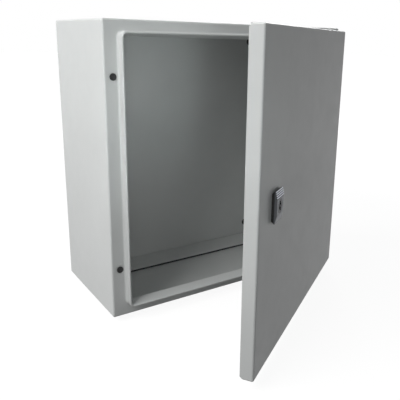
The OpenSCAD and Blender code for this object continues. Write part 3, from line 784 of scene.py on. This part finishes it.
def footRadius(diameter):
    return diameter / 2 + studShape["foot"] / 2


def weldStud(diameter, length, pitch):
    # stands on z = 0: the weld's fillet round a threaded bar
    foot, top = footRadius(diameter), studShape["footHeight"]
    fillet = lathe([(0, 0), (foot, 0), (foot, 0.25), (foot - 0.35, 0.55), (diameter / 2 + 0.15, 0.8),
                    (diameter / 2 - 0.3, top), (0, top)], 36)
    return joined([fillet, threadedBar(diameter, length, pitch)])


# seals, plugs and studs of the body, each section as (radius, height) from the sheet outwards
# plug: barb, head and dish
plugSection = [(0, -5), (3.3, -5), (3.6, -4.7), (3.6, -3.1), (4.4, -1.7), (4.4, -1.6), (4.1, -1.55),
               (4.1, -0.02), (4.45, 0), (4.6, 0.12), (4.6, 0.6), (4.52, 0.84), (4.3, 0.98), (4.1, 1),
               (3.2, 1), (3.02, 0.93), (2.4, 0.46), (2.2, 0.4), (0, 0.4)]
# the seal's first and last points close its bore with a thin black skin, a dark sheet that stands in for the shade
# seen through the hole
sealLip = 6.45
sealSection = [(0, 2), (4.25, 2), (4.25, 0), (5.05, 0), (5.05, 1.5), (6.33, 1.5), (sealLip, 1.62),
               (sealLip, 2.35), (6.3, 2.62), (6.1, 2.7), (4.6, 2.7), (4.35, 2.5), (0, 2.5)]
plateStud = {"bar": 8, "length": 20}


def cornerPlaces(node, inset, y):
    # the four places of a node whose outer size is known past each place
    low, high = nodeBox(node)
    return [(x, y, z) for x in (low.x + inset, high.x - inset) for z in (low.z + inset, high.z - inset)]


def makeBodyFittings():
    plugs = [(x, flangeY + bodyShape["seatDeep"], z) for x, z in hingeHoles() if x < 0]
    copiesAt("hinge_hole_plugs", lathe(plugSection, 44), plugs, toFront)
    copiesAt("wall_hole_seals", lathe(sealSection, 44),
             cornerPlaces("wall_hole_seals", sealLip, 0), toFront)
    bar = plateStud["bar"]
    copiesAt("mounting_studs", weldStud(bar, plateStud["length"], threadShape["coarseM8"]),
             cornerPlaces("mounting_studs", footRadius(bar), -bodyShape["sheet"]), toFront)
    refined("back_panel", bodyShape["edge"])


makeBodyFittings()


# cable entry: plate, gasket, flanged screws and weld nuts
glandShape = {"flats": 10, "flange": 12, "flangeHeight": 1, "headHeight": 3.5, "nutHeight": 5, "bar": 6,
              "rows": 3, "plateSoft": 0.3, "gasketSoft": 0.35}


def flangedScrew(length):
    # hexagon head on a flange, bar upwards, the flange's top at z = 0
    s = glandShape
    rim = s["flange"] / 2
    flange = lathe([(0, -1.3), (rim - 1.3, -1.3), (rim - 0.25, -0.55), (rim, -0.3), (rim, -0.08),
                    (rim - 0.12, 0), (0, 0)], 40)
    head = moved(hexBody(s["flats"], s["headHeight"] + 0.2), at(0, 0, -s["flangeHeight"] - s["headHeight"]))
    return joined([flange, head, threadedBar(s["bar"], length, threadShape["coarseM6"])])


def makeGland():
    s = glandShape
    low, high = nodeBox("gland_screws")
    rim = s["flange"] / 2
    plateLow, _ = nodeBox("gland_plate")
    floorLevel = -bodyHalfH + bodyShape["sheet"]
    step = (high.y - low.y - 2 * rim) / (s["rows"] - 1)
    places = [(x, low.y + rim + step * i) for x in (low.x + rim, high.x - rim) for i in range(s["rows"])]
    copiesAt("gland_screws", flangedScrew(high.z - plateLow.z), [(x, y, plateLow.z) for x, y in places])
    copiesAt("gland_weld_nuts", hexBody(s["flats"], s["nutHeight"], s["bar"] + threadShape["play"], False),
             [(x, y, floorLevel) for x, y in places])
    refined("gland_plate", s["plateSoft"])
    refined("gland_gasket", s["gasketSoft"])


makeGland()


# earthing points, one in the body and one on the door
earthShape = {"bar": 6, "length": 14, "flats": 10, "nutHeight": 5, "washer": 1, "washerSoft": 0.15}


def makeEarth(prefix, place):
    s = earthShape
    stud = weldStud(s["bar"], s["length"], threadShape["coarseM6"])
    addPiece(prefix + "EarthStud", stud, prefix + "_earth_stud", place)
    nut = hexBody(s["flats"], s["nutHeight"], s["bar"] + threadShape["play"])
    nutPlace = place @ at(0, 0, studShape["footHeight"] + s["washer"])
    addPiece(prefix + "EarthNut", nut, prefix + "_earth_nut", nutPlace)
    refined(prefix + "_earth_washer", s["washerSoft"])


def makeEarths():
    low, high = nodeBox("body_earth_stud")
    toRight = Matrix.Rotation(math.radians(90), 4, "Y")
    makeEarth("body", at(low.x, (low.y + high.y) / 2, (low.z + high.z) / 2) @ toRight)
    low, high = doorBox("door_earth_stud")
    makeEarth("door", swing @ at((low.x + high.x) / 2, low.y, (low.z + high.z) / 2) @ toBack)


makeEarths()
print("fittings of the body made")


# hinges: posts on the body, brackets and pins on the door
hingeShape = {
    "bar": 8, "barSunk": 0.5,               # how deep the threaded bar starts inside the post's pad
    "washer": 1.6, "washerBore": 4.1, "washerRim": 7, "washerEdge": 0.15,
    "nutFlats": 13, "nutHeight": 6.5,
    "pinHead": 3.7, "pinHeadHeight": 1.4, "pin": 2.5, "pinTip": 0.8,
    "clear": 9,                             # half width of the cut that takes the plain stud away
    "soft": 0.35,
}


def makePost(node):
    # the plain stud behind the pad is cut away and a threaded one takes its place
    s = hingeShape
    low, high = nodeBox(node)
    middleZ = (low.z + high.z) / 2
    x = bodyHalfW - bodyShape["hingeHoleSide"]
    cutY = flangeY + bodyShape["seatDeep"]
    clear = s["clear"]
    cutter = boxMesh((x - clear, cutY, middleZ - clear), (x + clear, high.y + 1, middleZ + clear))
    post = soften(flattened(carve(copyOf(node), [cutter])), s["soft"])
    bar = threadedBar(s["bar"], high.y - cutY + s["barSunk"], threadShape["coarseM8"])
    moved(bar, at(x, cutY - s["barSunk"], middleZ) @ toBack)
    finished(joined([post, bar]), node)


def pinBody(length):
    # round head up from z = 0, bar downwards
    s = hingeShape
    head, bar, tip, top = s["pinHead"], s["pin"], s["pinTip"], s["pinHeadHeight"]
    return lathe([(0, -length), (bar - tip, -length), (bar, -length + tip), (bar, -0.05), (head - 0.1, 0),
                  (head, 0.1), (head, 0.7), (head - 0.25, 1.1), (head - 0.8, 1.32), (head - 1.6, top),
                  (0, top)], 40)


def makeHinges():
    s = hingeShape
    for side in ("upper", "lower"):
        makePost(side + "_hinge_post")
        refined(side + "_hinge_bracket", s["soft"])
        low, high = doorBox(side + "_hinge_pin")
        pin = pinBody(high.z - low.z - s["pinHeadHeight"])
        place = swing @ at(hingePin.x / mm, hingePin.y / mm, high.z - s["pinHeadHeight"])
        addPiece(side + "HingePin", pin, side + "_hinge_pin", place)
    backY = flangeY + bodyShape["sheet"]
    used = [(x, z) for x, z in reversed(hingeHoles()) if x > 0]
    bore, rim, edge, thick = s["washerBore"], s["washerRim"], s["washerEdge"], s["washer"]
    washer = [(bore, 0), (rim - edge, 0), (rim, edge), (rim, thick - edge), (rim - edge, thick),
              (bore, thick)]
    copiesAt("hinge_post_washers", lathed(washer, 44), [(x, backY, z) for x, z in used], toBack)
    copiesAt("hinge_post_nuts", hexBody(s["nutFlats"], s["nutHeight"], s["bar"] + threadShape["play"]),
             [(x, backY + s["washer"], z) for x, z in used], toBack)


makeHinges()
print("hinges made")


# gasket on the door's inner face
gasketShape = {"width": 9.4, "height": 6.2, "cornerSteps": 10, "domeSteps": 20}


def makeGasketTree():
    # a closed section carried round a rectangle with round corners
    sizes = dict.fromkeys(("Width", "Height", "Corner", "Dome", "Start", "Sweep", "Rise"), "Float")
    tree, source = newTree("foamedGasket", sizes)
    take = source.outputs
    frameLine = addNode(tree, "GeometryNodeCurvePrimitiveQuadrilateral", Width=take["Width"],
                        Height=take["Height"])
    route = addNode(tree, "GeometryNodeFilletCurve", {"mode": "POLY"}, Curve=frameLine.outputs[0],
                    Radius=take["Corner"], Count=gasketShape["cornerSteps"])
    upright = addNode(tree, "GeometryNodeSetCurveNormal", {"mode": "Z_UP"}, Curve=route.outputs[0])
    dome = addNode(tree, "GeometryNodeCurveArc", Radius=take["Dome"], Resolution=gasketShape["domeSteps"])
    tree.links.new(take["Start"], dome.inputs["Start Angle"])
    tree.links.new(take["Sweep"], dome.inputs["Sweep Angle"])
    closed = addNode(tree, "GeometryNodeSetSplineCyclic", Geometry=dome.outputs[0], Cyclic=True)
    lift = addNode(tree, "ShaderNodeCombineXYZ", Y=take["Rise"])
    section = addNode(tree, "GeometryNodeTransform", Geometry=closed.outputs[0],
                      Translation=lift.outputs[0])
    swept = addNode(tree, "GeometryNodeCurveToMesh", Curve=upright.outputs[0])
    tree.links.new(section.outputs[0], swept.inputs["Profile Curve"])
    return endTree(tree, source, swept.outputs[0])


gasketTree = makeGasketTree()


def makeGasket():
    # the rim's crest, which the gasket closes on, lies a sheet's width inside the rim's face
    s, body = gasketShape, bodyShape
    half, line = s["width"] / 2, body["sheet"]
    dome = (half ** 2 + s["height"] ** 2) / (2 * s["height"])
    start = math.asin((dome - s["height"]) / dome)
    values = {"Width": 2 * (bodyHalfW - body["sideFlange"] - line) * mm,
              "Height": 2 * (bodyHalfH - body["endFlange"] - line) * mm,
              "Corner": (body["rimCorner"] - line) * mm, "Dome": dome * mm, "Start": start,
              "Sweep": math.pi - 2 * start, "Rise": (s["height"] - dome) * mm}
    bm = editMesh(runTree(gasketTree, foam, values))
    bmesh.ops.remove_doubles(bm, verts=bm.verts, dist=cutMerge)
    bmesh.ops.recalc_face_normals(bm, faces=bm.faces)
    skinY = doorFrontY + doorShape["sheet"]
    addPiece("foamedGasket", bm, "door_gasket", swing @ at(0, skinY, 0) @ toFront)


makeGasket()
print("gasket made")


# lock: seal, cover with ribs, threaded barrel, nut, core and cam
lockShape = {
    "width": 28, "height": 38, "thick": 2.8, "rim": 0.6, "bevel": 2.5, "slope": 9.5, "soft": 0.22,
    "mouth": 5.1,                           # height over the door where the edge round the core slopes
    "seal": 3, "sealDraw": 2.6, "sealTop": 0.2, "sealPlay": 0.1,
    "ribs": 4, "ribPitch": 2.3, "ribThick": 1, "ribHeight": 0.6, "ribDeep": 1, "ribLength": 25.2,
    "ribSoft": 0.2, "ribsFrom": 0.3,
    "barrel": 22, "barrelLength": 15, "barrelPitch": 1.5, "barrelSides": 48, "barrelSunk": 0.3,
    "coreBore": 16.6, "shankBore": 12.1, "coreLength": 10.5, "coreSoft": 0.18,
    "nutFlats": 27, "nutHeight": 6,
    "camSoft": {"lock_cam": 0.35, "lock_cam_washer": 0.2, "lock_cam_screw": 0.3},
    # painted light on the lock: a highlight on the ribs, shade in their grooves, on the cover's bevelled sides, in
    # the key's socket and on its pin; 1 is plain
    "ribHighlightTone": 3.4, "grooveShadeTone": 0.3, "sideShadeTone": 0.45, "socketShadeTone": 0.06, "pinShadeTone": 0.3,
    "ribOver": 0.2, "sideUnder": 0.1,       # how far over the slope the painted rib highlight begins, and how far under the cover the painted side shade begins
    "pinReach": 1.7, "socketReach": 6.2, "socketDeep": 8.3, "socketLip": 0.25,
}
lockPlace = swing @ at(lockX, doorFrontY, 0) @ toFront       # +Z to the front, door's face at z = 0


def setPaintedLight(mesh, paintedLightOf):
    # one painted light value for each face, below 1 for painted shade and above 1 for a painted highlight, from
    # its middle in the lock's own millimetres
    paintedLight = mesh.attributes.new("paintedLight", "FLOAT", "FACE")
    toLock = lockPlace.inverted()
    for face in mesh.polygons:
        paintedLight.data[face.index].value = paintedLightOf(toLock @ face.center / mm)


# painted light on the cover: a highlight on the rib tops, shade in the grooves between them and on the bevelled
# sides
def housingPaintedLight(point):
    s = lockShape
    down = s["height"] / 2 - point.y
    slope = s["seal"] + s["rim"] + (s["thick"] - s["rim"]) * down / s["slope"]
    if 0 < down < s["slope"] and point.z > slope + s["ribOver"]:
        return s["ribHighlightTone"]
    if down < s["slope"] and point.z > s["seal"] + s["rim"]:
        return s["grooveShadeTone"]
    if abs(point.x) > s["width"] / 2 - s["bevel"] and point.z > s["seal"] - s["sideUnder"]:
        return s["sideShadeTone"]
    return 1


# painted shade deep in the key's socket and on the pin in its middle
def corePaintedLight(point):
    s = lockShape
    front = s["seal"] + s["thick"]
    across = math.hypot(point.x, point.y)
    if across < s["pinReach"] and point.z > 0:
        return s["pinShadeTone"]
    inSocket = across < s["socketReach"] and front - s["socketDeep"] < point.z < front - s["socketLip"]
    return s["socketShadeTone"] if inSocket else 1


def coverBody():
    # drawn with +Z to the front; the ends slope and the sides are bevelled
    s = lockShape
    halfW, halfH = s["width"] / 2, s["height"] / 2
    lower = frontLoop(halfW, halfH, s["bevel"], 0)
    upper = frontLoop(halfW - s["bevel"], halfH - s["slope"], 0, 0, hold=0.01)
    levels = ((lower, 0), (lower, s["rim"]), (upper, s["thick"]))
    return skinLoops([[(x, z, level) for x, _, z in ring] for ring, level in levels], False, True)


def coverRibs():
    # equal bars stepped down the slope and partly sunk in it, ending just inside the cover's outline
    s = lockShape
    rise = (s["thick"] - s["rim"]) / s["slope"]              # of the slope for each millimetre down
    middle = s["height"] / 2 - s["ribsFrom"] - s["ribThick"] / 2
    level = s["seal"] + s["rim"] + rise * (s["height"] / 2 - middle) + s["ribHeight"] - s["ribDeep"] / 2
    values = {"Count": s["ribs"], "Step": Vector((0, -s["ribPitch"], s["ribPitch"] * rise)) * mm,
              "Size": Vector((s["ribLength"], s["ribThick"], s["ribDeep"])) * mm}
    ribs = moved(editMesh(runTree(ribTree, lockGrey, values)), at(0, middle, level))
    return soften(ribs, s["ribSoft"], 3)


def sealBody():
    # moulded seal under the cover, its ends drawn in towards the door
    s = lockShape
    loops = []
    for drawnIn, level in ((s["sealDraw"], 0), (s["sealTop"], s["seal"])):
        ring = frontLoop(s["width"] / 2, s["height"] / 2 - drawnIn, s["bevel"], 0)
        loops.append([(x, z, level) for x, _, z in ring])
    hole, past = s["barrel"] / 2 + s["sealPlay"], 1
    cutter = lathe([(0, -past), (hole, -past), (hole, s["seal"] + past), (0, s["seal"] + past)], 48)
    return carve(skinLoops(loops, False, True), [cutter])


def makeLock():
    s = lockShape
    past = 1                                # how far a cutter runs beyond what it cuts
    front, barrelFront = s["seal"] + s["thick"], s["seal"] + s["barrelSunk"]
    back = -doorShape["sheet"] - s["barrelLength"]
    coreBack, mouth = front - s["coreLength"], s["mouth"]
    core, shank = s["coreBore"] / 2, s["shankBore"] / 2
    coverCut = [(0, coreBack), (core, coreBack), (core, mouth), (core + past, mouth + past),
                (0, mouth + past)]
    barrelCut = [(0, back - past), (shank, back - past), (shank, coreBack), (core, coreBack),
                 (core, barrelFront + past), (0, barrelFront + past)]
    cover = moved(soften(coverBody(), s["soft"]), at(0, 0, s["seal"]))
    cover = carve(cover, [lathe(coverCut, 56)])
    barrel = threadedBar(s["barrel"], barrelFront - back, s["barrelPitch"], s["barrelSides"])
    moved(barrel, at(0, 0, barrelFront) @ Matrix.Rotation(math.pi, 4, "X"))
    barrel = carve(barrel, [lathe(barrelCut, 56)])
    housing = toMesh(joined([cover, coverRibs(), barrel]), "lockHousing", lockPlace)
    setPaintedLight(housing, housingPaintedLight)
    makePiece("lockHousing", housing, "lock_housing")
    nut = hexBody(s["nutFlats"], s["nutHeight"], s["barrel"] + threadShape["play"])
    nutPlace = swing @ at(lockX, doorFrontY + doorShape["sheet"], 0) @ toBack
    addPiece("lockNut", nut, "lock_nut", nutPlace)
    addPiece("lockSeal", sealBody(), "lock_seal", lockPlace)
    setPaintedLight(refined("lock_core", s["coreSoft"]).data, corePaintedLight)
    for node, soft in s["camSoft"].items():
        refined(node, soft)


makeLock()
print("lock made")


# finishes of the nodes' own meshes
for name, cadNode in nodes.items():
    cadNode.data.materials.clear()
    cadNode.data.materials.append(slotMaterial[slotOf[name]])
print("finishes set")


# camera, light and floor
cameraSetup = {"place": (-0.44699, -0.81725, 0.17830), "turn": (74.936, -1.327, -35.009), "lens": 47.695,
               "shift": (-0.0932, -0.0440)}
cameraData = bpy.data.cameras.new("camera")
cameraData.lens = cameraSetup["lens"]
cameraData.shift_x, cameraData.shift_y = cameraSetup["shift"]
camera = newObject("camera", cameraData)
camera.location = cameraSetup["place"]
camera.rotation_euler = [math.radians(angle) for angle in cameraSetup["turn"]]
bpy.context.scene.camera = camera


studioShape = {
    "ambient": (0.1, 0.104, 0.107),
    "glossAround": 0.6,     # how bright the white surroundings are in a gloss
    "glossBelow": 0.72,     # and the floor
    "floor": (0.12, 0.12, 0.12),
    "floorHalf": 12, "floorDrop": 0.0005,   # metres
    "glow": (0.93, 1.0),    # the floor's own white under the object and far from it
    "glowReach": (0.5, 1.5),
}


def areaLamp(name, place, target, width, height, power, colour=(1, 1, 1), spread=180):
    lampData = bpy.data.lights.new(name, "AREA")
    lampData.color = colour
    lampData.spread = math.radians(spread)
    lampData.shape = "RECTANGLE"
    lampData.size, lampData.size_y = width, height
    lampData.energy = power
    lamp = newObject(name, lampData)
    lamp.location = place
    lamp.rotation_euler = (Vector(target) - Vector(place)).to_track_quat("-Z", "Y").to_euler()


areaLamp("keyLamp", (-1.1, -0.45, 0.9), (0, -0.15, 0), 0.9, 0.9, 16.5)
areaLamp("backLamp", (-1.2, 0.6, 1.2), (0, -0.15, 0), 0.8, 0.8, 13)
areaLamp("insideFill", (-0.55, -1.15, -0.05), (-0.13, -0.05, 0.14), 0.2, 0.2, 0.058, (0.93, 1, 1), 22)
areaLamp("rearFill", (1.5, 1.45, 0.8), (0, -0.1, 0), 0.9, 0.9, 17)
areaLamp("frontFill", (-0.6, -1.5, 0.5), (0, -0.15, 0), 0.5, 0.5, 1.2)


def rayMask(tree, gloss):
    # 1 for what the camera sees past or through the object, less for what a gloss sees
    path = tree.nodes.new("ShaderNodeLightPath")
    seen = calc(tree, "MAXIMUM", path.outputs["Is Camera Ray"], path.outputs["Is Transmission Ray"])
    return calc(tree, "MAXIMUM", seen, calc(tree, "MULTIPLY", path.outputs["Is Glossy Ray"], gloss))


def makeWorld():
    s = studioShape
    world = bpy.data.worlds.new("studio")
    world.use_nodes = True
    bpy.context.scene.world = world
    tree = world.node_tree
    soft = tree.nodes["Background"]
    soft.inputs["Color"].default_value = (*s["ambient"], 1)
    white = addNode(tree, "ShaderNodeBackground", Color=(1, 1, 1, 1))
    mask = rayMask(tree, s["glossAround"])
    mix = addNode(tree, "ShaderNodeMixShader", i0=mask, i1=soft.outputs[0], i2=white.outputs[0])
    tree.links.new(mix.outputs[0], tree.nodes["World Output"].inputs["Surface"])


def makeFloor():
    s = studioShape
    bm = bmesh.new()
    bmesh.ops.create_grid(bm, x_segments=2, y_segments=2, size=s["floorHalf"])
    place = Matrix.Translation((0, 0, cadBounds[0][2] - s["floorDrop"]))
    floor = newObject("studioFloor", toMesh(bm, "studioFloor", place))
    material, tree, shader = newMaterial("studioFloor", s["floor"], 0.9)
    shader.inputs["Specular IOR Level"].default_value = 0
    here = tree.nodes.new("ShaderNodeTexCoord").outputs["Object"]
    away = addNode(tree, "ShaderNodeVectorMath", {"operation": "LENGTH"}, i0=here).outputs["Value"]
    fade = remap(tree, away, s["glowReach"], s["glow"], {"interpolation_type": "SMOOTHSTEP"})
    glow = calc(tree, "MULTIPLY", rayMask(tree, s["glossBelow"]), fade)
    glowShader = addNode(tree, "ShaderNodeEmission", Strength=glow)
    add = addNode(tree, "ShaderNodeAddShader", i0=shader.outputs[0], i1=glowShader.outputs[0])
    tree.links.new(add.outputs[0], tree.nodes["Material Output"].inputs["Surface"])
    floor.data.materials.append(material)


makeWorld()
makeFloor()
bpy.context.scene.view_settings.view_transform = "Standard"
print("studio ready")
